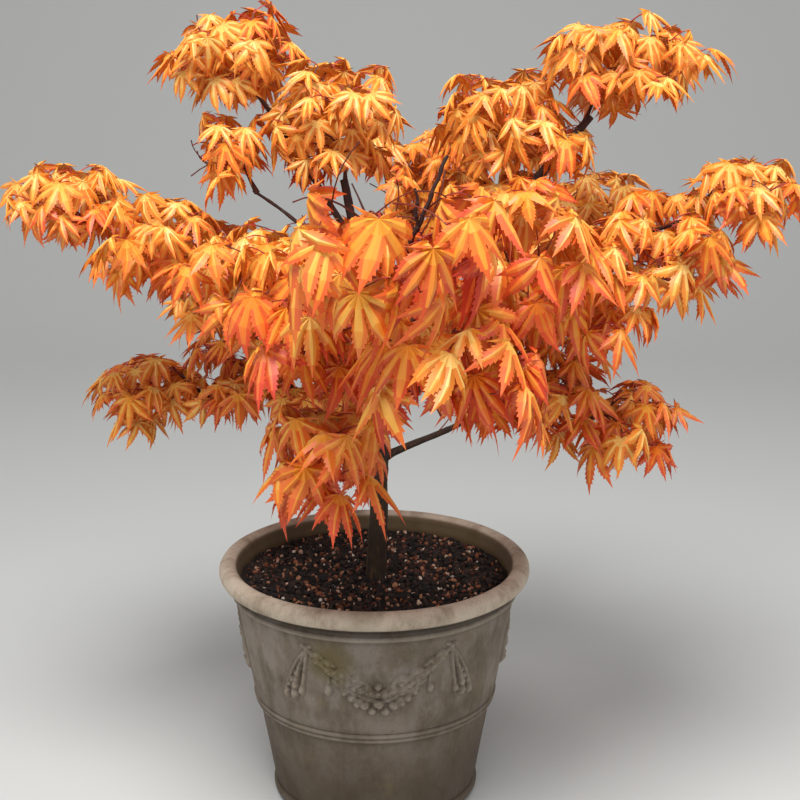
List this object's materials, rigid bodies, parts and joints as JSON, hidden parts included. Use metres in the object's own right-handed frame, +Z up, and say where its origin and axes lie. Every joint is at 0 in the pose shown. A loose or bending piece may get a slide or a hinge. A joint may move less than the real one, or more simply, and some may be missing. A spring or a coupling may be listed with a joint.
{
  "type": "potted maple tree",
  "caption": "Young Japanese maple in orange autumn leaf, a low spreading crown on one short trunk, in a round weathered planter with garland relief.",
  "frame": {"origin": "centre of the planter's flat underside, on the ground", "axes": "+Z up along the planter's axis, -Y the front, +X to the right seen from the front"},
  "size_m": [0.9861, 0.9306, 0.9984],
  "materials": {
    "weathered_stoneware": "matte",
    "bark_compost": "matte",
    "dark_bark": "matte",
    "orange_leaf": "satin"
  },
  "bodies": {
    "root": {"planter": "weathered_stoneware", "soil": "bark_compost", "trunk": "dark_bark", "bough_crown_left": "dark_bark", "bough_crown_right": "dark_bark", "bough_left_wing": "dark_bark", "bough_right_wing": "dark_bark", "bough_front_high": "dark_bark", "bough_back_middle": "dark_bark", "bough_low_left": "dark_bark", "bough_low_right": "dark_bark", "bough_front_low": "dark_bark", "bough_back_left": "dark_bark", "bough_back_right": "dark_bark", "bough_back_low": "dark_bark", "bough_front_hanging": "dark_bark", "bough_crown_tip": "dark_bark", "bough_crown_drop": "dark_bark", "bough_crown_middle": "dark_bark", "bough_left_inner": "dark_bark", "bough_left_wing_tip": "dark_bark", "bough_right_inner": "dark_bark", "bough_right_wing_tip": "dark_bark", "bough_front_left": "dark_bark", "bough_front_right": "dark_bark", "bough_low_left_tip": "dark_bark", "bough_low_right_tip": "dark_bark", "foliage_crown_left": "orange_leaf", "foliage_crown_right": "orange_leaf", "foliage_left_wing": "orange_leaf", "foliage_right_wing": "orange_leaf", "foliage_front_high": "orange_leaf", "foliage_back_middle": "orange_leaf", "foliage_low_left": "orange_leaf", "foliage_low_right": "orange_leaf", "foliage_front_low": "orange_leaf", "foliage_back_left": "orange_leaf", "foliage_back_right": "orange_leaf", "foliage_back_low": "orange_leaf", "foliage_front_hanging": "orange_leaf", "foliage_crown_tip": "orange_leaf", "foliage_crown_drop": "orange_leaf", "foliage_crown_middle": "orange_leaf", "foliage_left_inner": "orange_leaf", "foliage_left_wing_tip": "orange_leaf", "foliage_right_inner": "orange_leaf", "foliage_right_wing_tip": "orange_leaf", "foliage_front_left": "orange_leaf", "foliage_front_right": "orange_leaf", "foliage_low_left_tip": "orange_leaf", "foliage_low_right_tip": "orange_leaf"}
  },
  "joints": []
}
